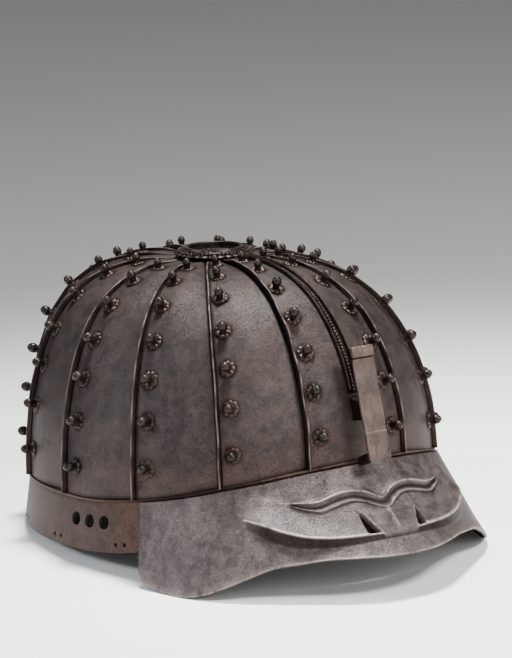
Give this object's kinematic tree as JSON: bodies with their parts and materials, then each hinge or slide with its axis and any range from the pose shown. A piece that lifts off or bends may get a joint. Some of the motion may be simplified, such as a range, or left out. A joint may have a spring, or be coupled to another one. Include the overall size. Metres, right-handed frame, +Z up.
{
  "type": "samurai helmet",
  "caption": "Riveted iron helmet bowl of overlapping ribbed plates with a crown collar, a neck band, a wide embossed peak with side wings and a flat crest holder.",
  "frame": {"origin": "centre of the bottom of the helmet's box, on the surface it rests on", "axes": "+Z up, -Y is the helmet's front, where the peak is, and +X is the wearer's left"},
  "size_m": [0.2232, 0.2786, 0.1589],
  "materials": {
    "plate_iron": "russet brown-black iron, satin, mottled",
    "band_iron": "russet iron, duller and redder",
    "peak_iron": "brown-grey iron with worn lighter edges",
    "fitting_iron": "dark brown iron, satin",
    "crest_iron": "pinkish grey worn iron"
  },
  "bodies": {
    "root": {"front_plate": "plate_iron", "left_plate_1": "plate_iron", "right_plate_1": "plate_iron", "left_plate_2": "plate_iron", "right_plate_2": "plate_iron", "left_plate_3": "plate_iron", "right_plate_3": "plate_iron", "left_plate_4": "plate_iron", "right_plate_4": "plate_iron", "left_plate_5": "plate_iron", "right_plate_5": "plate_iron", "left_plate_6": "plate_iron", "right_plate_6": "plate_iron", "back_plate": "plate_iron", "front_moulding": "fitting_iron", "crown_rosette": "fitting_iron", "crown_collar": "fitting_iron", "neck_band": "band_iron", "peak": "peak_iron", "crest_holder": "crest_iron"}
  },
  "joints": []
}
